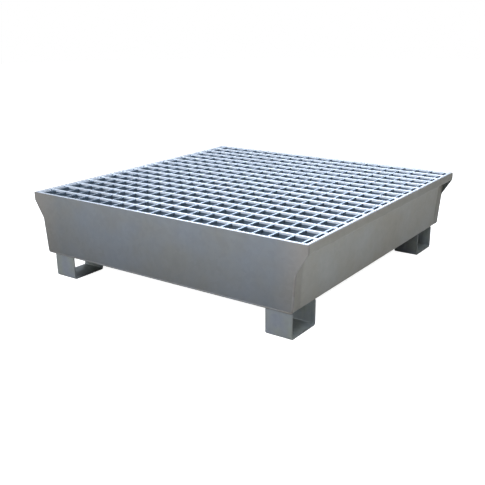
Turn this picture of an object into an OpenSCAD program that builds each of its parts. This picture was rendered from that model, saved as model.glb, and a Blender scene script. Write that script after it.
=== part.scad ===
// Spill containment pallet: a folded sheet-steel tray on four strap feet,
// with a lift-out bar grating that carries four drums over the sump.
// +X is the pallet's right, +Y its back, +Z up. The origin is on the floor, at the centre of the footprint.
// The driving sizes are in millimetres.

/* [Tray] */
// Width over the lips, left to right
tray_width = 1236; // [1150:1:1300]
// Depth over the front and back plates
tray_depth = 1230; // [1150:1:1300]
// Height of the lips above the floor
tray_height = 326; // [310:1:360]
// Sheet thickness
sheet = 3; // [2:0.5:4]
// Half width of the tray's flat bottom
bottom_half_width = 565; // [540:1:575]
// Half width where the end plates' ears start to spread out from the walls
ear_half_width = 577; // [572:1:585]
// Height at which the ears start
ear_height = 228; // [200:1:250]
// Height at which the ears reach the lips' width
ear_top = 294; // [285:1:296]
// Outside radius of the bend between the bottom and a wall
bottom_radius = 10; // [6:1:14]
// Outside radius of the bend between a wall and its ledge
ledge_radius = 5; // [3:1:8]
// Outside radius of the bend between a ledge and its lip
lip_radius = 6; // [6:1:10]
// Radius of the corners of the ears
ear_radius = 18; // [5:1:18]

/* [Feet] */
// Clearance under the tray for fork arms
foot_height = 90; // [60:1:120]
// Width of each strap foot, left to right
foot_width = 101; // [80:1:120]
// Length of each strap foot, front to back
foot_length = 150; // [120:1:180]
// Strap thickness
foot_strap = 5; // [4:0.5:8]
// Outside radius of the strap's two bends
foot_radius = 9; // [7:1:14]
// Inset of the left feet from the edge of the tray's bottom
left_foot_inset = 39; // [0:1:60]
// Inset of the back feet from the back plate
back_foot_inset = 65; // [0:1:100]

/* [Grating] */
// Height of the bearing bars and of the frame bars round them
bearing_height = 30; // [25:1:30]
// Thickness of the bearing bars, cross bars and frame bars
bar_thickness = 8; // [4:0.5:10]
// Height of the cross bars let into the bearing bars
cross_height = 12; // [8:1:18]
// Depth of the cross bars' tops below the bearing bars' tops
cross_drop = 2; // [0:0.5:4]
// Spacing of the cross bars, centre to centre
cross_pitch = 61.6; // [60:0.1:62]
// Gap between the grating's frame and the tray on all four sides
grating_gap = 3; // [3:0.5:8]

/* [Grating supports] */
// Leg length of the rest angles and flange width of the bearer channels
rest_leg = 30; // [25:1:35]
// Gap between the rest angles' ends and the walls
rest_end_gap = 2; // [1:1:10]
// Thickness of the rest angles
rest_sheet = 3; // [2:0.5:4]
// Height of the bearer channels
bearer_height = 60; // [40:1:100]
// Thickness of the bearer channels
bearer_sheet = 4; // [3:0.5:5]
// Distance of each bearer channel from the middle of the tray
bearer_offset = 200; // [150:1:300]

/* [Hidden] */
$fn = 48;
bend_steps = 8;                                   // flat facets along each bend
bearing_count = 17;                               // bearing bars inside the frame
cross_count = 20;                                 // cross bars
plate_face = tray_depth / 2 - sheet;              // inside face of the front and back plates
lip_face = tray_width / 2 - sheet;                // inside face of the lips
frame_half_x = lip_face - grating_gap;            // outside of the grating's frame
frame_half_y = plate_face - grating_gap;
inner_half_x = frame_half_x - bar_thickness;      // inside of the grating's frame
inner_half_y = frame_half_y - bar_thickness;
bearing_pitch = (frame_half_y - bar_thickness / 2) * 2 / (bearing_count + 1);
rest_height = tray_height - bearing_height;       // top of the ledges and rest angles that carry the grating
left_foot_x = -bottom_half_width + left_foot_inset;
right_foot_x = bottom_half_width - foot_width;
front_foot_y = -tray_depth / 2;
back_foot_y = tray_depth / 2 - back_foot_inset - foot_length;

// The walls lean out from the bottom and run on straight past the start of the ears
wall_lean = (ear_half_width - bottom_half_width) / (ear_height - foot_height);
ledge_height = rest_height - sheet;               // underside of the ledges
function wall_x(height) = bottom_half_width + wall_lean * (height - foot_height);

// Corners of the right half of the shell's outside, from the bottom up to the lip
shell_corners = [
    [bottom_half_width, foot_height],
    [wall_x(ledge_height), ledge_height],
    [tray_width / 2, ledge_height],
];
// Corners of the right half of an end plate
plate_corners = [
    [bottom_half_width, foot_height],
    [ear_half_width, ear_height],
    [tray_width / 2, ear_top],
];

// Whole path across the tray from lip to lip, and the radii of its corners
function path_across(corners) = concat(
    [[-tray_width / 2, tray_height]],
    [for (i = [2:-1:0]) [-corners[i].x, corners[i].y]],
    corners,
    [[tray_width / 2, tray_height]]);
function radii_across(radii) = concat([for (i = [2:-1:0]) radii[i]], radii);
shell_path = path_across(shell_corners);
shell_radii = radii_across([bottom_radius, ledge_radius, lip_radius]);

function unit(v) = v / norm(v);
function left_normal(v) = [-v.y, v.x];
function turned(v, angle) = [v.x * cos(angle) - v.y * sin(angle), v.x * sin(angle) + v.y * cos(angle)];
function turn_angle(a, b) = atan2(cross(a, b), a * b);

// Points of an arc of radius r that rounds the corner at p between the points before and after it
function rounded_corner(before, p, after, r) =
    let (
        way_in = unit(p - before),
        angle = turn_angle(way_in, unit(after - p)),
        start = p - way_in * r * tan(abs(angle) / 2),
        centre = start + sign(angle) * r * left_normal(way_in)
    )
    [for (i = [0:bend_steps]) centre + turned(start - centre, angle * i / bend_steps)];

// The path with its inner points rounded, one radius for each
function rounded_path(path, radii) = concat(
    [path[0]],
    [for (i = [1:len(path) - 2]) each rounded_corner(path[i - 1], path[i], path[i + 1], radii[i - 1])],
    [path[len(path) - 1]]);

// The path moved to its left by a distance, with sharp corners; its ends move square to their stretch
function moved_left(path, distance) = [
    for (i = [0:len(path) - 1])
        let (
            a = unit(i == 0 ? path[1] - path[0] : path[i] - path[i - 1]),
            b = unit(i == len(path) - 1 ? path[i] - path[i - 1] : path[i + 1] - path[i]),
            n = unit(left_normal(a) + left_normal(b))
        )
        path[i] + n * distance / (n * left_normal(a))];

// A bend that turns left has a smaller radius on its left side, and one that turns right a larger one
function inner_radii(path, radii, distance) = [
    for (i = [1:len(path) - 2])
        radii[i - 1] - distance * sign(turn_angle(path[i] - path[i - 1], path[i + 1] - path[i]))];

shell_outside = rounded_path(shell_path, shell_radii);
shell_inside = rounded_path(moved_left(shell_path, sheet), inner_radii(shell_path, shell_radii, sheet));
plate_outline = rounded_path(path_across(plate_corners), radii_across([bottom_radius, ear_radius, ear_radius]));

function numbered(name, i) = str(name, i < 10 ? "_0" : "_", i);

// Stands an outline drawn in X and Z upright and carries it along Y, centred on the middle
module along_y(length) {
    rotate([90, 0, 0])
        linear_extrude(length, center = true)
            children();
}

// Carries an outline drawn in Y and Z along X
module along_x(length) {
    rotate([90, 0, 90])
        linear_extrude(length)
            children();
}

// The bottom, both side walls, their ledges for the grating and the lips, folded from one sheet
module tray_shell() {
    color("#84888c")
        along_y(plate_face * 2)
            difference() {
                polygon(shell_outside);
                polygon(shell_inside);
            }
}

// A flat end plate, whose ears close the ends of the ledges; y is its front face
module end_plate(y) {
    color("#7d8085")
        translate([0, y + sheet / 2, 0])
            along_y(sheet)
                polygon(plate_outline);
}

module front_plate() {
    end_plate(-tray_depth / 2);
}

module back_plate() {
    end_plate(plate_face);
}

// Outline of the strap or of the space inside it, with its two lower corners rounded
module foot_outline(inset, radius) {
    low = [inset, inset];
    size = [foot_length - 2 * inset, foot_height];
    translate(low + [0, radius])
        square([size.x, size.y]);
    for (side = [radius, size.x - radius])
        translate(low + [side, radius])
            circle(radius);
    translate(low + [radius, 0])
        square([size.x - 2 * radius, size.y]);
}

// A strap bent into a U that opens to the sides; x and y are its left and front faces
module foot(x, y) {
    color("#74777b")
        translate([x, y, 0])
            along_x(foot_width)
                intersection() {
                    difference() {
                        foot_outline(0, foot_radius);
                        foot_outline(foot_strap, foot_radius - foot_strap);
                    }
                    square([foot_length, foot_height]);
                }
}

module foot_front_left() {
    foot(left_foot_x, front_foot_y);
}

module foot_front_right() {
    foot(right_foot_x, front_foot_y);
}

module foot_back_left() {
    foot(left_foot_x, back_foot_y);
}

module foot_back_right() {
    foot(right_foot_x, back_foot_y);
}

// The ledge along the front plate: one leg flat on the plate and one reaching in under the grating
module rest_angle_front() {
    length = (wall_x(rest_height - rest_leg) - sheet - rest_end_gap) * 2;
    color("#7b7f84")
        translate([-length / 2, -plate_face, rest_height - rest_leg])
            along_x(length)
                difference() {
                    square(rest_leg);
                    translate([rest_sheet, 0])
                        square([rest_leg - rest_sheet, rest_leg - rest_sheet]);
                }
}

module rest_angle_back() {
    mirror([0, 1, 0])
        rest_angle_front();
}

// A channel under the bearing bars, from plate to plate, its ends notched round the rest angles
module bearer_right() {
    notch = [rest_leg - rest_sheet, bearer_height];
    color("#7b7f84")
        translate([bearer_offset, 0, rest_height - bearer_height])
            difference() {
                along_y((plate_face - rest_sheet) * 2)
                    difference() {
                        square([rest_leg, bearer_height]);
                        translate([bearer_sheet, bearer_sheet])
                            square([rest_leg, bearer_height - 2 * bearer_sheet]);
                    }
                for (side = [-1, 1])
                    translate([-1, side * (plate_face - rest_sheet - notch.x / 2) - notch.x / 2,
                               bearer_height - rest_sheet])
                        cube([rest_leg + 2, notch.x, rest_sheet + 1]);
            }
}

module bearer_left() {
    mirror([1, 0, 0])
        bearer_right();
}

// A frame bar along the front or back edge of the grating; side is -1 or 1
module frame_bar_x(side) {
    color("#c3cad2")
        translate([-frame_half_x, side * (frame_half_y - bar_thickness / 2) - bar_thickness / 2, rest_height])
            cube([frame_half_x * 2, bar_thickness, bearing_height]);
}

// A frame bar along the left or right edge, between the front and back ones
module frame_bar_y(side) {
    color("#c3cad2")
        translate([side * (frame_half_x - bar_thickness / 2) - bar_thickness / 2, -inner_half_y, rest_height])
            cube([bar_thickness, inner_half_y * 2, bearing_height]);
}

module frame_bar_front() {
    frame_bar_x(-1);
}

module frame_bar_back() {
    frame_bar_x(1);
}

module frame_bar_left() {
    frame_bar_y(-1);
}

module frame_bar_right() {
    frame_bar_y(1);
}

function cross_x(i) = (i - (cross_count + 1) / 2) * cross_pitch;
function bearing_y(i) = (i - (bearing_count + 1) / 2) * bearing_pitch;

// A flat bar on edge from side to side, with a notch in its top edge for each cross bar
module bearing_bar(i) {
    notch_depth = cross_height + cross_drop;
    color("#c9d0d8")
        translate([0, bearing_y(i), rest_height])
            along_y(bar_thickness)
                difference() {
                    translate([-inner_half_x, 0])
                        square([inner_half_x * 2, bearing_height]);
                    for (k = [1:cross_count])
                        translate([cross_x(k) - bar_thickness / 2, bearing_height - notch_depth])
                            square([bar_thickness, notch_depth + 1]);
                }
}

// A shallow bar from front to back that lies in the bearing bars' notches
module cross_bar(i) {
    color("#b9c0c8")
        translate([cross_x(i) - bar_thickness / 2, -inner_half_y, tray_height - cross_drop - cross_height])
            cube([bar_thickness, inner_half_y * 2, cross_height]);
}

tray_shell();
front_plate();
back_plate();
foot_front_left();
foot_front_right();
foot_back_left();
foot_back_right();
rest_angle_front();
rest_angle_back();
bearer_left();
bearer_right();
frame_bar_front();
frame_bar_back();
frame_bar_left();
frame_bar_right();
for (i = [1:bearing_count])
    bearing_bar(i);
for (i = [1:cross_count])
    cross_bar(i);
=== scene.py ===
import math
import random

import bmesh
import bpy
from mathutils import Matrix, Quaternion, Vector, noise


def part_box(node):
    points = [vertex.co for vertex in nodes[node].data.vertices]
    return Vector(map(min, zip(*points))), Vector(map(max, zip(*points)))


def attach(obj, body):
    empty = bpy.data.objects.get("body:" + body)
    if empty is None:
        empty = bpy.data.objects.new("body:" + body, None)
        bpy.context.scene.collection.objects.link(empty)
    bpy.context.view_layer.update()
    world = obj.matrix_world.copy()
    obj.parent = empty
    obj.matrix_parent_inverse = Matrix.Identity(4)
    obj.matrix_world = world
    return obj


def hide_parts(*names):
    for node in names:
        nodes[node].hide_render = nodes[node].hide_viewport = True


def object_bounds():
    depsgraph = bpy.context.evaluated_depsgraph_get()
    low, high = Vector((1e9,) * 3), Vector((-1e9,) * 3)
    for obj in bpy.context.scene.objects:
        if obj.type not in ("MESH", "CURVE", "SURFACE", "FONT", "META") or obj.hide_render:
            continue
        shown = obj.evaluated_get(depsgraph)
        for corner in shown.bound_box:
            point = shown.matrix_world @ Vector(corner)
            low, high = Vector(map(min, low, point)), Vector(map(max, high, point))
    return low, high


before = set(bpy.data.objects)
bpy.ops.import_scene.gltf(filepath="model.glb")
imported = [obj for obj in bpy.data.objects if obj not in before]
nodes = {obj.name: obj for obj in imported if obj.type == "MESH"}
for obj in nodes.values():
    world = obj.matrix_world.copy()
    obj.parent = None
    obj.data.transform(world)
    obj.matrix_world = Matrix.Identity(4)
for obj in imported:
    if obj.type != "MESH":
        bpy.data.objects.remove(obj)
scene = bpy.context.scene
cadLow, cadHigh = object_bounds()
middle = (cadLow + cadHigh) / 2
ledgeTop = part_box("frame_bar_left")[0].z            # the shell's ledges carry the grating's frame
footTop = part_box("foot_front_left")[1].z            # the flat bottom's underside
borderStart = cadHigh.y - 0.042                     # a side wall is pressed in up to this far from the middle
print("frame loaded")


cameraSet = {
    "right": 1.621,     # metres from the middle of the pallet
    "front": 2.364,
    "height": 0.975,    # metres above the floor
    "turn": 34.99,      # degrees to the left of straight on
    "dip": 19.23,       # degrees below level
    "roll": -0.42,      # degrees
    "lens": 52.79,      # millimetres
    "sensor": 36,
    "shiftX": -0.0103,
    "shiftY": 0.0412,
}
turn, dip = math.radians(cameraSet["turn"]), math.radians(cameraSet["dip"])
looking = Vector((-math.sin(turn) * math.cos(dip), math.cos(turn) * math.cos(dip), -math.sin(dip)))
cameraData = bpy.data.cameras.new("camera")
cameraData.sensor_width = cameraSet["sensor"]
cameraData.lens = cameraSet["lens"]
cameraData.shift_x = cameraSet["shiftX"]
cameraData.shift_y = cameraSet["shiftY"]
camera = bpy.data.objects.new("camera", cameraData)
camera.location = (middle.x + cameraSet["right"], middle.y - cameraSet["front"],
                   cadLow.z + cameraSet["height"])
camera.rotation_mode = "QUATERNION"
camera.rotation_quaternion = looking.to_track_quat("-Z", "Y") @ Quaternion(
    (0, 0, 1), math.radians(cameraSet["roll"]))
scene.collection.objects.link(camera)
scene.camera = camera
scene.view_settings.view_transform = "Standard"
print("camera set")


# an sRGB hex colour as linear values, with an alpha of 1
def linearColour(hexColour):
    parts = [int(hexColour[i:i + 2], 16) / 255 for i in (1, 3, 5)]
    return [c / 12.92 if c <= 0.04045 else ((c + 0.055) / 1.055) ** 2.4 for c in parts] + [1]


# a texture's scale for a pattern of this many millimetres
def perMm(size):
    return 1000 / size


# adds a shader node; an input given as a socket is linked, and any other is set
def addNode(tree, kind, inputs=None, **settings):
    node = tree.nodes.new("ShaderNode" + kind)
    for name, value in settings.items():
        setattr(node, name, value)
    for name, value in (inputs or {}).items():
        if isinstance(value, bpy.types.NodeSocket):
            tree.links.new(value, node.inputs[name])
        else:
            node.inputs[name].default_value = value
    return node


# goes from 0 to 1 as the value does, with a soft start and end
def smoothStep(value):
    value = min(max(value, 0), 1)
    return value * value * (3 - 2 * value)


# turns a bmesh into a piece that rides on a body
def makePiece(name, bm, body, materials, replaced=()):
    bmesh.ops.recalc_face_normals(bm, faces=bm.faces)
    mesh = bpy.data.meshes.new(name)
    bm.to_mesh(mesh)
    bm.free()
    for material in materials:
        mesh.materials.append(material)
    piece = bpy.data.objects.new(name, mesh)
    scene.collection.objects.link(piece)
    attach(piece, body)
    if replaced:
        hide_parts(*replaced)
    return piece


# rounds the shading of a piece, but not over bends of more than these degrees, and keeps its flats flat
def softShade(piece, angle=50):
    piece.data.shade_smooth()
    piece.data.set_sharp_from_angle(angle=math.radians(angle))
    keeper = piece.modifiers.new("flat faces", "WEIGHTED_NORMAL")
    keeper.keep_sharp = True


# a closed surface through rings of points
def skin(bm, rings):
    loops = [[bm.verts.new(p) for p in ring] for ring in rings]
    bm.faces.new(loops[0][::-1])
    bm.faces.new(loops[-1])
    for a, b in zip(loops, loops[1:]):
        for i in range(len(a)):
            j = (i + 1) % len(a)
            bm.faces.new((a[i], a[j], b[j], b[i]))


lightSet = {
    "fill": 0.34,               # strength of the even light from all round
    "fillColour": "#f4f7ff",
    "backdrop": "#ffffff",
    "lamps": [
        # name, place, width and height, watts, colour, aimed at
        ("overhead", (0.75, -0.9, 2.9), (2.2, 2.2), 175, "#eef4ff", (0.3, -0.3, 0.2)),
        ("back wall", (-2.5, 4.6, 3.15), (4.4, 1.4), 150, "#e8f1ff", (0.3, -0.3, 0.3)),
        ("front", (-1.5, -4.0, 1.6), (3.0, 2.0), 98, "#f6f9ff", (0, 0, 0.2)),
        ("right", (4.0, -0.8, 1.5), (2.4, 1.6), 17, "#fff6ea", (0, 0, 0.2)),
    ],
}
world = bpy.data.worlds.new("studio")
scene.world = world
world.use_nodes = True
sky = world.node_tree
background = sky.nodes["Background"]
cameraRay = addNode(sky, "LightPath").outputs["Is Camera Ray"]
seen = addNode(sky, "Mix", {0: cameraRay, 6: linearColour(lightSet["fillColour"]),
                            7: linearColour(lightSet["backdrop"])}, data_type="RGBA")
strength = addNode(sky, "Mix", {0: cameraRay, 2: lightSet["fill"], 3: 1.0}, data_type="FLOAT")
sky.links.new(seen.outputs[2], background.inputs["Color"])
sky.links.new(strength.outputs[0], background.inputs["Strength"])
for name, place, size, watts, colour, aim in lightSet["lamps"]:
    lampData = bpy.data.lights.new(name, "AREA")
    lampData.shape = "RECTANGLE"
    lampData.size, lampData.size_y = size
    lampData.energy = watts
    lampData.color = linearColour(colour)[:3]
    lamp = bpy.data.objects.new(name, lampData)
    lamp.location = place
    lamp.rotation_euler = (Vector(aim) - Vector(place)).to_track_quat("-Z", "Y").to_euler()
    lamp.visible_camera = False
    scene.collection.objects.link(lamp)
print("lights set")


floorSet = {
    "radius": 14,           # metres
    "sides": 96,
    "colour": "#d2d2d0",    # smooth pale studio paper
    "roughness": 0.9,
    "shine": 0.1,
    "glow": 0.94,           # keeps the paper white to the eye without lighting the pallet more
}
floorPaper = bpy.data.materials.new("studio paper")
floorPaper.use_nodes = True
paper = floorPaper.node_tree
paperShader = paper.nodes["Principled BSDF"]
paperShader.inputs["Base Color"].default_value = linearColour(floorSet["colour"])
paperShader.inputs["Roughness"].default_value = floorSet["roughness"]
paperShader.inputs["Specular IOR Level"].default_value = floorSet["shine"]
paperShader.inputs["Emission Color"].default_value = linearColour("#ffffff")
glow = addNode(paper, "Math", {0: addNode(paper, "LightPath").outputs["Is Camera Ray"],
                               1: floorSet["glow"]}, operation="MULTIPLY")
paper.links.new(glow.outputs[0], paperShader.inputs["Emission Strength"])
floorMesh = bmesh.new()
bmesh.ops.create_circle(floorMesh, cap_ends=True, radius=floorSet["radius"], segments=floorSet["sides"])
floorData = bpy.data.meshes.new("floor")
floorMesh.to_mesh(floorData)
floorMesh.free()
floorData.materials.append(floorPaper)
floor = bpy.data.objects.new("floor", floorData)
floor.location = (middle.x, middle.y, cadLow.z)
scene.collection.objects.link(floor)
print("floor laid")


zincSet = {
    "cloudLimits": (0.36, 0.64),    # the noise between these goes from one grey to the other
    "wideLimits": (0.3, 0.7),       # the same for the runs and for the roughness
    "bend": 0.4,                    # how far the crystals' outlines wander, in parts of their size
    "topLimits": (0.5, 0.8),        # how far up a face must look to have the top's painted tone
    "edgeMm": 9,                    # half the width of a border's soft dark edge, which is painted shade
    "crystalBump": 0.35,            # height of the crystals beside that of the grain
    "bumpHeight": 0.001,            # metres
}


# painted light and shade on a bar: a painted highlight along the rim of its sides, painted shade under it,
# plain again further down, and a painted tone on the faces that look up
def paintBarLightAndShade(tree, finish, place, tone):
    height = addNode(tree, "SeparateXYZ", {0: place}).outputs[2]
    upward = addNode(tree, "SeparateXYZ", {0: addNode(tree, "TexCoord").outputs["Normal"]}).outputs[2]
    rimFrom, rimTo, dullTo = [cadHigh.z - mm / 1000 for mm in finish["rimMm"]]
    for source, limits, colour in ((height, (dullTo, rimTo), "dull"), (height, (rimTo, rimFrom), "rim"),
                                   (upward, zincSet["topLimits"], "top")):
        mask = addNode(tree, "MapRange", {"Value": source, "From Min": limits[0],
                                          "From Max": limits[1]}).outputs[0]
        tone = addNode(tree, "Mix", {0: mask, 6: tone, 7: linearColour(finish[colour])},
                       data_type="RGBA").outputs[2]
    return tone


# a border beside the corner welds or along a lip: another tone, with a soft dark edge of painted shade
def addBorder(tree, border, place, tone, light):
    part = addNode(tree, "SeparateXYZ", {0: place}).outputs
    sideways = addNode(tree, "Math", {0: part[border["axis"]]}, operation="ABSOLUTE").outputs[0]
    overEnd = addNode(tree, "Math", {0: sideways, 1: border["end"]}, operation="SUBTRACT").outputs[0]
    overTop = addNode(tree, "Math", {0: part[2], 1: border["top"]}, operation="SUBTRACT").outputs[0]
    beyond = addNode(tree, "Math", {0: overEnd, 1: overTop}, operation="MAXIMUM").outputs[0]
    soft = border["softMm"] / 1000
    mask = addNode(tree, "MapRange", {"Value": beyond, "From Min": -soft, "From Max": soft,
                                      "To Max": border["tint"]}).outputs[0]
    tone = addNode(tree, "Mix", {0: mask, 6: tone, 7: linearColour(border["colour"])},
                   data_type="RGBA").outputs[2]
    # the soft dark edge along the border is painted shade
    off = addNode(tree, "Math", {0: beyond}, operation="ABSOLUTE").outputs[0]
    edge = addNode(tree, "MapRange", {"Value": off, "From Max": zincSet["edgeMm"] / 1000,
                                      "To Min": 1 - border["edge"]}).outputs[0]
    light = addNode(tree, "Math", {0: light, 1: edge}, operation="MULTIPLY").outputs[0]
    return tone, light


# hot-dip galvanised steel: cloudy zinc with faint crystals and runs, with painted light and shade where a
# finish asks for them
def galvanised(name, finish):
    material = bpy.data.materials.new(name)
    material.use_nodes = True
    tree = material.node_tree
    shader = tree.nodes["Principled BSDF"]
    place = addNode(tree, "TexCoord").outputs["Object"]
    wideLow, wideHigh = zincSet["wideLimits"]

    # clouds of two greys
    cloud = addNode(tree, "TexNoise", {"Vector": place, "Scale": perMm(finish["cloudMm"]),
                                       "Detail": 4, "Roughness": 0.55}).outputs[0]
    cloudMask = addNode(tree, "MapRange", {"Value": cloud, "From Min": zincSet["cloudLimits"][0],
                                           "From Max": zincSet["cloudLimits"][1]}).outputs[0]
    tone = addNode(tree, "Mix", {0: cloudMask, 6: linearColour(finish["cool"]),
                                 7: linearColour(finish["warm"])}, data_type="RGBA").outputs[2]

    # crystals of the zinc, each a little lighter or darker
    bent = addNode(tree, "TexNoise", {"Vector": place, "Scale": perMm(finish["spangleMm"]), "Detail": 2})
    bentPlace = addNode(tree, "VectorMath", {0: bent.outputs["Color"],
                                             "Scale": zincSet["bend"] * finish["spangleMm"] / 1000},
                        operation="SCALE").outputs[0]
    crystalPlace = addNode(tree, "VectorMath", {0: place, 1: bentPlace}, operation="ADD").outputs[0]
    crystal = addNode(tree, "TexVoronoi", {"Vector": crystalPlace, "Scale": perMm(finish["spangleMm"])})
    crystalTone = addNode(tree, "SeparateColor", {0: crystal.outputs["Color"]}).outputs[0]
    crystalLight = addNode(tree, "MapRange", {"Value": crystalTone, "To Min": 1 - finish["spangle"],
                                              "To Max": 1 + finish["spangle"]}).outputs[0]

    # runs where the zinc drained off
    runPlace = addNode(tree, "VectorMath", {0: place, 1: [perMm(mm) for mm in finish["runMm"]]},
                       operation="MULTIPLY").outputs[0]
    run = addNode(tree, "TexNoise", {"Vector": runPlace, "Scale": 1, "Detail": 3}).outputs[0]
    runLight = addNode(tree, "MapRange", {"Value": run, "From Min": wideLow, "From Max": wideHigh,
                                          "To Min": 1 - finish["runs"],
                                          "To Max": 1 + finish["runs"]}).outputs[0]
    light = addNode(tree, "Math", {0: crystalLight, 1: runLight}, operation="MULTIPLY").outputs[0]

    # the bars' painted highlight and painted shade on their sides, and their painted top tone
    if "rim" in finish:
        tone = paintBarLightAndShade(tree, finish, place, tone)
    if "border" in finish:
        tone, light = addBorder(tree, finish["border"], place, tone, light)
    # painted light near the lips and painted shade towards the bottom: the tone is scaled with height
    if "shade" in finish:
        height = addNode(tree, "SeparateXYZ", {0: place}).outputs[2]
        shade = addNode(tree, "MapRange", {"Value": height, "From Min": footTop, "From Max": cadHigh.z,
                                           "To Min": finish["shade"][0],
                                           "To Max": finish["shade"][1]}).outputs[0]
        light = addNode(tree, "Math", {0: light, 1: shade}, operation="MULTIPLY").outputs[0]
    colour = addNode(tree, "HueSaturation", {"Value": light, "Color": tone}).outputs[0]
    tree.links.new(colour, shader.inputs["Base Color"])

    # roughness follows the clouds; the bump is the zinc's grain and its crystals
    roughness = addNode(tree, "MapRange", {"Value": cloud, "From Min": wideLow, "From Max": wideHigh,
                                           "To Min": finish["roughness"][0],
                                           "To Max": finish["roughness"][1]}).outputs[0]
    tree.links.new(roughness, shader.inputs["Roughness"])
    shader.inputs["Metallic"].default_value = finish["metallic"]
    # the real grain is finer than 2 mm, and is drawn coarser so that it shows
    grain = addNode(tree, "TexNoise", {"Vector": place, "Scale": perMm(finish["grainMm"]),
                                       "Detail": 3}).outputs[0]
    relief = addNode(tree, "Math", {0: crystalTone, 1: zincSet["crystalBump"], 2: grain},
                     operation="MULTIPLY_ADD").outputs[0]
    bump = addNode(tree, "Bump", {"Height": relief, "Strength": finish["bump"],
                                  "Distance": zincSet["bumpHeight"]}).outputs[0]
    tree.links.new(bump, shader.inputs["Normal"])
    return material


# the end plates' sheet: a matt cool grey with large soft clouds, going over to a warmer tone at the sides
plateFinish = {
    "cool": "#64686c", "warm": "#676866", "shade": (0.75, 1.25),
    "cloudMm": 170, "spangleMm": 16, "spangle": 0.03,
    "runMm": (60, 60, 420), "runs": 0.02,
    "roughness": (0.46, 0.6), "metallic": 0.75,
    "grainMm": 5, "bump": 0.12,
    "border": {"axis": 0, "end": cadHigh.x - 0.075, "top": cadHigh.z + 0.1, "softMm": 55,
               "colour": "#736e67", "tint": 0.75, "edge": 0},
}
# the folded shell's sheet: a lighter, warmer copy of the end plates' sheet, painted light for the walls'
# brighter, warmer light, with a darker, warmer border round the pressed walls whose soft edge is painted
# shade
sheetFinish = dict(plateFinish, cool="#82827c", warm="#868379", shade=(0.76, 1.22))
sheetFinish["border"] = {"axis": 1, "end": borderStart, "top": ledgeTop, "softMm": 9,
                         "colour": "#6f6c63", "tint": 0.6, "edge": 0.12}
# the same sheet inside the sump, darkened: painted shade where little light gets in under the grating
sumpShadeFinish = dict(plateFinish, cool="#565e68", warm="#60645f", runs=0.08)
del sumpShadeFinish["shade"], sumpShadeFinish["border"]
# the feet's thicker strap: a plain middle grey with long streaks of zinc
strapFinish = dict(sumpShadeFinish, cool="#63676c", warm="#6a6d67", cloudMm=60, spangleMm=11, spangle=0.04,
                   runMm=(20, 20, 160), runs=0.04, metallic=0.5)
# inside its bends the strap gets a lighter copy of its zinc: painted light
strapLitInsideFinish = dict(strapFinish, cool="#7c8285", warm="#828780", runs=0.12, metallic=0.35)
# the angles and channels inside: a little darker than the strap
sectionFinish = dict(strapFinish, cool="#5b636d", warm="#646863")
# the grating: bright, bluish new zinc; on the sides a painted highlight along the rim with painted shade
# under it, and a painted tone on the tops
barFinish = {
    "cool": "#8e9dad", "warm": "#97a3af", "dull": "#647587",
    # the rim's painted highlight and the tops' painted tone
    "rim": "#e9f1fa", "top": "#ccd6e1",
    "rimMm": (7, 8.5, 20),      # depths at which the painted highlight ends, the painted shade is darkest, and the side is plain again
    "cloudMm": 90, "spangleMm": 9, "spangle": 0.04,
    "runMm": (14, 14, 60), "runs": 0.06,
    "roughness": (0.28, 0.36), "metallic": 0.5,
    "grainMm": 4, "bump": 0.12,
}
# the cross bars are let in lower, so their rim and tops get darker tones than the bearing bars': painted
# shade for their lower place
crossFinish = dict(barFinish, rim="#808d9c", top="#8e9cab", dull="#6f7e89", rimMm=(5, 7, 20),
                   metallic=0.8, roughness=(0.24, 0.32))
# the cut edge and the inner side of the lips: zinc kept out of the sump's painted shade, less bright than the
# grating
lipFinish = dict(sumpShadeFinish, cool="#73757a", warm="#787775", metallic=0.5)
# zinc over the weld beads: rounder and a little brighter than the sheet beside it
beadFinish = dict(plateFinish, cool="#6f7275", warm="#74726d", spangle=0.05, runs=0.04, cloudMm=40, bump=0.25)

galvanisedPlate = galvanised("galvanised sheet of the end plates", plateFinish)
galvanisedSheet = galvanised("galvanised sheet", sheetFinish)
galvanisedSumpShade = galvanised("galvanised sheet darkened by spills", sumpShadeFinish)
galvanisedStrap = galvanised("galvanised strap", strapFinish)
galvanisedStrapLitInside = galvanised("galvanised strap with painted light inside", strapLitInsideFinish)
galvanisedSection = galvanised("galvanised rolled section", sectionFinish)
galvanisedBar = galvanised("galvanised grating bar", barFinish)
galvanisedCross = galvanised("galvanised cross bar", crossFinish)
galvanisedLip = galvanised("galvanised lip", lipFinish)
galvanisedBead = galvanised("galvanised weld bead", beadFinish)
for name, node in nodes.items():
    if name.startswith(("rest_angle", "bearer")):
        for slot in node.material_slots:
            slot.material = galvanisedSection
print("materials made")


barSet = {
    "edge": 0.0011,                         # radius of the bars' edges under the zinc
    "bluntEnd": [(0, 0.8), (0.3, 0.25)],    # an end's rings: how far along and how far in, in edge radii
    "bluntEdge": 0.9,                       # how much of that comes off the edge radius
    "station": 0.03,                        # spacing of the rings along a bar
    "sway": 0.00035,                        # how far a bar strays from straight
    "swaySize": 0.19,
}
noise.seed_set(5)       # noise_vector is different on each run without a seed


# the same gentle unevenness for every part of the grating, so that the parts still meet
def swayed(p):
    return p + noise.noise_vector(p / barSet["swaySize"]) * barSet["sway"]


# points of a rounded rectangle, counted round from its first corner
def roundedSection(halfA, halfB, radius, steps=2):
    points = []
    for corner, (sideA, sideB) in enumerate(((1, 1), (-1, 1), (-1, -1), (1, -1))):
        for k in range(steps + 1):
            angle = math.radians(90 * (corner + k / steps))
            points.append((sideA * (halfA - radius) + radius * math.cos(angle),
                           sideB * (halfB - radius) + radius * math.sin(angle)))
    return points


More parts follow.
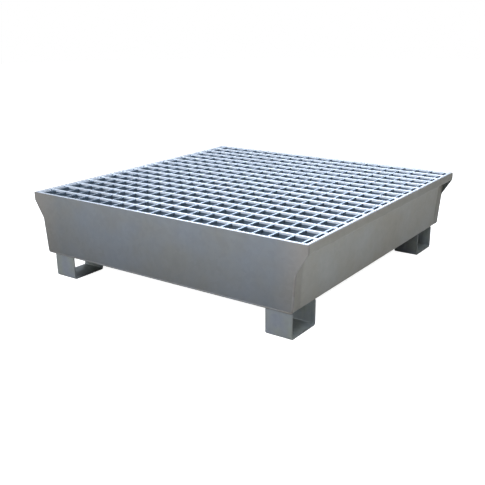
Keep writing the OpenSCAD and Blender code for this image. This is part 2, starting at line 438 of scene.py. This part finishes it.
# a flat bar with rounded edges that fills a CAD bar's box
def barPiece(nodeName):
    low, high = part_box(nodeName)
    size, centre = high - low, (low + high) / 2
    along = 0 if size.x > size.y else 1
    across = 1 - along
    edge = barSet["edge"]
    count = round(size[along] / barSet["station"])
    stations = [(edge * at, edge * inset) for at, inset in barSet["bluntEnd"]]
    stations += [(edge + (size[along] - 2 * edge) * k / count, 0) for k in range(count + 1)]
    stations += [(size[along] - edge * at, edge * inset) for at, inset in reversed(barSet["bluntEnd"])]
    rings = []
    for distance, inset in stations:
        ring = []
        radius = edge - inset * barSet["bluntEdge"]
        for a, b in roundedSection(size[across] / 2 - inset, size.z / 2 - inset, radius):
            point = Vector((0, 0, centre.z + b))
            point[along] = low[along] + distance
            point[across] = centre[across] + a
            ring.append(swayed(point))
        rings.append(ring)
    bm = bmesh.new()
    skin(bm, rings)
    zinc = galvanisedCross if nodeName.startswith("cross") else galvanisedBar
    piece = makePiece(nodeName + "_zinc", bm, "grating", [zinc], [nodeName])
    softShade(piece)


barNames = sorted(n for n in nodes if n.startswith(("bearing_bar", "cross_bar", "frame_bar")))
for name in barNames:
    barPiece(name)


filletSet = {
    "radius": 0.004,            # zinc held in the upright corners where bars cross
    "spread": (0.7, 1.15),      # the least and the greatest where two inner bars cross, in parts of that
    "sunk": 0.0006,             # how deep its back lies inside the bars
    "turns": (8, 30, 60, 82),   # degrees round its hollow face
    "foot": (0.6, 0.45),        # height over which its foot narrows, and what is left, in radii
    "head": (0.35, 0.5),
    "underCross": 0.0004,       # its top under a cross bar's top
    "underBearing": 0.001,      # its top under a bearing bar's top, at the frame
    "overBearing": 0.002,       # its foot over a bearing bar's bottom, at the frame
}


# one fillet between two bars; the sides say which quarter it fills
def addFillet(bm, x, y, sideX, sideY, bottom, top, radius=filletSet["radius"]):
    sunk, rings = filletSet["sunk"], []
    (footRise, footWidth), (headDrop, headWidth) = filletSet["foot"], filletSet["head"]
    for height, width in ((bottom, footWidth), (bottom + radius * footRise, 1),
                          (top - radius * headDrop, 1), (top, headWidth)):
        reach = radius * width
        turns = [math.radians(degrees) for degrees in filletSet["turns"]]
        hollow = [(reach * (1 - math.sin(a)), reach * (1 - math.cos(a))) for a in turns]
        ring = [(-sunk, -sunk), (reach, -sunk)] + hollow + [(-sunk, reach)]
        rings.append([swayed(Vector((x + sideX * a, y + sideY * b, height))) for a, b in ring])
    skin(bm, rings)


fillets = bmesh.new()
rng = random.Random(41)
crossBoxes = [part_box(n) for n in barNames if n.startswith("cross_bar")]
bearingBoxes = [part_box(n) for n in barNames if n.startswith("bearing_bar")]
frameFront, frameBack, frameLeft, frameRight = [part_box("frame_bar_" + side)
                                                for side in ("front", "back", "left", "right")]
for crossLow, crossHigh in crossBoxes:
    crossSpan = crossLow.z, crossHigh.z - filletSet["underCross"]
    for sideX, x in ((-1, crossLow.x), (1, crossHigh.x)):
        for bearingLow, bearingHigh in bearingBoxes:
            for sideY, y in ((-1, bearingLow.y), (1, bearingHigh.y)):
                addFillet(fillets, x, y, sideX, sideY, *crossSpan,
                          filletSet["radius"] * rng.uniform(*filletSet["spread"]))
        addFillet(fillets, x, frameFront[1].y, sideX, 1, *crossSpan)
        addFillet(fillets, x, frameBack[0].y, sideX, -1, *crossSpan)
for bearingLow, bearingHigh in bearingBoxes:
    bearingSpan = bearingLow.z + filletSet["overBearing"], bearingHigh.z - filletSet["underBearing"]
    for sideY, y in ((-1, bearingLow.y), (1, bearingHigh.y)):
        addFillet(fillets, frameLeft[1].x, y, 1, sideY, *bearingSpan)
        addFillet(fillets, frameRight[0].x, y, -1, sideY, *bearingSpan)
filletPiece = makePiece("grating_zinc_fillets", fillets, "grating", [galvanisedCross])
softShade(filletPiece)
print("grating made")


sheetSet = {
    "wave": 0.0007,         # unevenness of the shell and the end plates
    "waveSize": 0.33,
    "gridX": 0.05,          # spacing of the cuts that let a sheet bend
    "softAngle": 40,        # bends sharper than this many degrees stay sharp
    "flatAngle": 0.5,       # and flatter ones than this are made one face before the cuts
    "samePlace": 1e-6,
}


# how far the sheet is off its CAD place at a point
def waveAt(p):
    return noise.noise(p / sheetSet["waveSize"]) * sheetSet["wave"]


# copies a CAD node's mesh and cuts it at places along the axes, so that it can be shaped
def griddedCopy(nodeName, cuts=()):
    bm = bmesh.new()
    bm.from_mesh(nodes[nodeName].data)
    bmesh.ops.remove_doubles(bm, verts=bm.verts, dist=sheetSet["samePlace"])
    bmesh.ops.dissolve_limit(bm, angle_limit=math.radians(sheetSet["flatAngle"]), verts=bm.verts,
                             edges=bm.edges)
    for axis, places in cuts:
        normal = Vector((0, 0, 0))
        normal[axis] = 1
        for place in places:
            bmesh.ops.bisect_plane(bm, geom=bm.verts[:] + bm.edges[:] + bm.faces[:],
                                   dist=sheetSet["samePlace"], plane_co=normal * place, plane_no=normal)
    return bm


# evenly spaced places on both sides of the middle
def evenPlaces(half, step):
    count = round(half / step)
    return [step * k for k in range(-count, count + 1)]


# spaced places from one end to the other, with a fine step between the limits if they are given
def gridPlaces(low, high, coarse, fine=None, limits=(0, 0)):
    fine = fine or coarse
    places, at = [], low + coarse
    while at < high - fine:
        places.append(at)
        at += fine if limits[0] < at < limits[1] else coarse
    return places


# which of a sheet's three finishes a face has: the outside's, the sump's painted shade, or the lips'
def sheetIndex(rim, inside):
    return 2 if rim else 1 if inside else 0


shellSet = {
    "slope": 0.068,         # from the outside of a lip in to the flat part of the bottom
    "wallFoot": 0.020,      # height of the bend under a wall
    "pressed": 0.0016,      # how far a side wall is set in from its border
    "pressedEdge": 0.010,   # width of the slope between them
    "pressedFoot": 0.040,   # height over which the pressing begins
    "pressedHead": 0.020,   # height over which it ends
    "underLedge": 0.010,    # how far below the ledge's top it has ended
    "calmEnd": 0.030,       # the sheet is even beside the end plates
    "calmFoot": 0.050,      # and beside the bends under the walls
    "gridY": 0.045,
    "gridFine": 0.005,      # the grid's spacing round the border's edge
    "fineReach": (0.060, 0.025),    # how far the fine part goes in and out from that edge
    "gridZ": 0.020,
    "gridFoot": 0.008,      # the cuts are counted from this far above the bottom
    "lookIn": 0.3,          # a face that looks this much inwards and up is on the inside
    "lookUp": 0.5,          # and one that looks this much up is a lip's edge
    "lipFrom": 0.001,       # the lips' zinc starts this far above the ledges
    "sumpTo": 0.004,        # and the sump's ends this far below them
}
shellLow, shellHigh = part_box("tray_shell")
floorHalf = shellHigh.x - shellSet["slope"]
wallFoot = shellLow.z + shellSet["wallFoot"]
fineIn, fineOut = shellSet["fineReach"]
halfY = gridPlaces(0, shellHigh.y, shellSet["gridY"], shellSet["gridFine"],
                   (borderStart - fineIn, borderStart + fineOut))
yCuts = [0] + halfY + [-y for y in halfY]
zCuts = gridPlaces(shellLow.z + shellSet["gridFoot"], shellHigh.z, shellSet["gridZ"])
shell = griddedCopy("tray_shell", [(1, yCuts), (2, zCuts), (0, evenPlaces(floorHalf, sheetSet["gridX"]))])
shell.normal_update()
for face in shell.faces:
    where, facing = face.calc_center_median(), face.normal
    inside = facing.z - math.copysign(1, where.x) * facing.x > shellSet["lookIn"]
    onLip = where.z > ledgeTop + shellSet["lipFrom"] and (inside or facing.z > shellSet["lookUp"])
    face.material_index = sheetIndex(onLip, inside and where.z < ledgeTop - shellSet["sumpTo"])
for vert in shell.verts:
    p = vert.co
    wave = waveAt(p) * smoothStep((shellHigh.y - abs(p.y)) / shellSet["calmEnd"])
    if abs(p.x) > floorHalf:
        rise = smoothStep((p.z - wallFoot) / shellSet["pressedFoot"])
        rise *= smoothStep((ledgeTop - shellSet["underLedge"] - p.z) / shellSet["pressedHead"])
        pressed = smoothStep((borderStart - abs(p.y)) / shellSet["pressedEdge"] + 0.5) * shellSet["pressed"]
        p.x -= math.copysign((pressed + wave) * rise, p.x)
    else:
        p.z += wave * smoothStep((floorHalf - abs(p.x)) / shellSet["calmFoot"])
shellPiece = makePiece("tray_shell_sheet", shell, "tray",
                       [galvanisedSheet, galvanisedSumpShade, galvanisedLip], ["tray_shell"])
softShade(shellPiece, sheetSet["softAngle"])


plateSet = {
    "gridZ": 0.04,
    "rows": 5,              # cuts, counted down from the ledges' height
    "earReach": 0.058,      # the sheet is even in the ears, this far in from their tips
    "calmSide": 0.06,       # and beside them
    "calmBottom": 0.04,
    "calmTop": 0.05,
    "lookIn": 0.5,          # a face that looks this much inwards is on the inside
    "lookUp": 0.9,          # and one that looks this much up is the top edge
}
plateNames = ("front_plate", "back_plate")
for name in plateNames:
    low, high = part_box(name)
    plateRows = [ledgeTop - plateSet["gridZ"] * k for k in range(plateSet["rows"])]
    plate = griddedCopy(name, [(0, evenPlaces(high.x, sheetSet["gridX"])), (2, plateRows)])
    plate.normal_update()
    for face in plate.faces:
        inside = -math.copysign(1, low.y) * face.normal.y > plateSet["lookIn"]
        onTop = face.normal.z > plateSet["lookUp"]
        onLip = face.calc_center_median().z > ledgeTop and (inside or onTop)
        face.material_index = sheetIndex(onLip, inside)
    for vert in plate.verts:
        p = vert.co
        calm = smoothStep((p.z - low.z) / plateSet["calmBottom"])
        calm *= smoothStep((high.z - p.z) / plateSet["calmTop"])
        calm *= smoothStep((high.x - plateSet["earReach"] - abs(p.x)) / plateSet["calmSide"])
        p.y += waveAt(p) * calm
    platePiece = makePiece(name + "_sheet", plate, "tray",
                           [galvanisedPlate, galvanisedSumpShade, galvanisedLip], [name])
    softShade(platePiece, sheetSet["softAngle"])
print("tray sheets made")


footSet = {
    "strap": 0.005,         # thickness of the strap
    "edge": 0.0009,         # radius of its cut edges
    "edgeAngle": 40,        # degrees; anything sharper than this is an edge
    "lookAside": 0.1,       # a face that looks this much sideways is a cut edge, and not inside the bends
}
footNames = [n for n in nodes if n.startswith("foot_")]
for name in footNames:
    foot = griddedCopy(name)
    cutEdges = [e for e in foot.edges if e.calc_face_angle(0) > math.radians(footSet["edgeAngle"])]
    bmesh.ops.bevel(foot, geom=cutEdges, offset=footSet["edge"], segments=2, profile=0.5,
                    affect="EDGES", clamp_overlap=True)
    low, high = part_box(name)
    foot.normal_update()
    for face in foot.faces:
        inward = (low + high) / 2 - face.calc_center_median()
        inward.x = 0
        # faces inside a foot's bends get the strap's painted light
        inside = inward.dot(face.normal) > 0 and abs(face.normal.x) < footSet["lookAside"]
        face.material_index = 1 if inside else 0
    footPiece = makePiece(name + "_strap", foot, "tray",
                          [galvanisedStrap, galvanisedStrapLitInside], [name])
    softShade(footPiece)
print("feet made")


weldSet = {
    "corner": 0.0040,       # radius of the bead along the tray's corners
    "sunk": 0.0026,         # depth of its middle inside the corner
    "earDrop": 0.098,       # from the lips' tops down to where the ears leave the walls
    "wallLean": 0.010,      # how far a wall leans out between its foot and there
    "cornerEnd": 0.004,     # the corner bead ends this far below that
    "ear": 0.0030,          # radius of the bead inside an ear
    "earOff": 0.0008,       # how far its middle is off the sheet
    "earEnd": 0.001,        # it ends this far below the lip's top
    "foot": 0.0030,         # radius of the beads round the feet
    "footFront": 0.0022,    # radius of the one along a back foot's front edge
    "flush": 0.0021,        # and along a front foot's, which is set in so that it isn't proud of the plate
    "flushIn": 0.0014,
    "footEnd": 0.002,       # a foot's beads end this far in from its sides
    "ripple": 0.0055,       # spacing of the ripples, drawn wider than the real 2 mm so that they show
    "rippleDepth": 0.05,    # the greatest, in bead radii
    "rippleLeast": 0.5,     # the least, in parts of that
    "fewest": 4,            # rings in a short bead
    "tip": 0.06,            # square of a bead's radius at its ends, in bead radii
    "sides": 10,
    "softAngle": 60,
}
acrossTray = Vector((0, 1, 0))


# a bead of weld along a path in a plane square to Y
def addBead(bm, path, radius, rng):
    lengths = [(b - a).length for a, b in zip(path, path[1:])]
    total = sum(lengths)
    count = max(weldSet["fewest"], round(total / (weldSet["ripple"] / 2)))
    rings = []
    for k in range(count + 1):
        distance = total * k / count
        left, i = distance, 0
        while i < len(lengths) - 1 and left > lengths[i]:
            left -= lengths[i]
            i += 1
        along = (path[i + 1] - path[i]).normalized()
        point = path[i] + along * min(left, lengths[i])
        fromEnd = min(distance, total - distance) / radius
        size = radius * math.sqrt(max(weldSet["tip"], 1 - (1 - min(fromEnd, 1)) ** 2))
        size *= 1 + weldSet["rippleDepth"] * (1 if k % 2 else -1) * rng.uniform(weldSet["rippleLeast"], 1)
        other = along.cross(acrossTray).normalized()
        turns = [2 * math.pi * n / weldSet["sides"] for n in range(weldSet["sides"])]
        rings.append([point + (acrossTray * math.cos(a) + other * math.sin(a)) * size for a in turns])
    skin(bm, rings)


# the outline of the shell's end, from the top of one lip round under the bottom to the other
def shellOutline():
    bm = griddedCopy("tray_shell")
    bm.normal_update()
    end = max(bm.faces, key=lambda f: f.normal.y * f.calc_area())
    loop = [Vector((v.co.x, 0, v.co.z)) for v in end.verts]
    bm.free()
    # the lips' outer top corners: height counts for more than width
    start, stop = [max(range(len(loop)), key=lambda i: loop[i].z * 100 + side * loop[i].x)
                   for side in (-1, 1)]
    ways = []
    for step in (1, -1):
        way, i = [loop[start]], start
        while i != stop:
            i = (i + step) % len(loop)
            way.append(loop[i])
        ways.append(way)
    return min(ways, key=lambda way: min(p.z for p in way))


# moves a path in the XZ plane to its left
def insetPath(path, depth):
    moved = []
    for i, p in enumerate(path):
        along = (path[min(i + 1, len(path) - 1)] - path[max(i - 1, 0)]).normalized()
        moved.append(p + Vector((-along.z, 0, along.x)) * depth)
    return moved


# a path's points at this Y, none above this height
def placed(path, y, highest=cadHigh.z):
    return [Vector((p.x, y, min(p.z, highest))) for p in path]


rng = random.Random(7)
outline = shellOutline()
# the bead in a corner runs on up the straight wall to the ear; from there it goes up the ear's inner side
earStart = cadHigh.z - weldSet["earDrop"]
cornerTop = earStart - weldSet["cornerEnd"]
lower = [p for p in outline if p.z < earStart]
leftTop = Vector((lower[0].x - weldSet["wallLean"], 0, cornerTop))
rightTop = Vector((lower[-1].x + weldSet["wallLean"], 0, cornerTop))
cornerPath = insetPath([leftTop] + lower + [rightTop], weldSet["sunk"])
leftUpper = [p for p in outline if p.z >= earStart and p.x < 0][::-1]
for name in plateNames:
    low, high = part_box(name)
    isFront = low.y < 0
    outer = low.y + weldSet["sunk"] if isFront else high.y - weldSet["sunk"]
    inner = high.y + weldSet["earOff"] if isFront else low.y - weldSet["earOff"]
    bead = bmesh.new()
    addBead(bead, placed(cornerPath, outer), weldSet["corner"], rng)
    for mirrorX in (1, -1):
        earPath = [Vector((p.x * mirrorX, 0, p.z)) for p in leftUpper]
        earPath = insetPath(earPath, -weldSet["earOff"] * mirrorX)
        addBead(bead, placed(earPath, inner, high.z - weldSet["earEnd"]), weldSet["ear"], rng)
    beadPiece = makePiece(name + "_weld", bead, "tray", [galvanisedBead])
    softShade(beadPiece, weldSet["softAngle"])

footBeads = bmesh.new()
for name in footNames:
    low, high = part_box(name)
    isFlush = low.y - cadLow.y < footSet["strap"]
    beads = [(low.y + weldSet["flushIn"], weldSet["flush"]) if isFlush else (low.y, weldSet["footFront"])]
    beads += [(y, weldSet["foot"]) for y in (low.y + footSet["strap"], high.y - footSet["strap"], high.y)]
    for y, radius in beads:
        ends = [Vector((x, y, high.z)) for x in (low.x + weldSet["footEnd"], high.x - weldSet["footEnd"])]
        addBead(footBeads, ends, radius, rng)
beadPiece = makePiece("foot_welds", footBeads, "tray", [galvanisedBead])
softShade(beadPiece, weldSet["softAngle"])
print("welds made")

print("pallet finished")
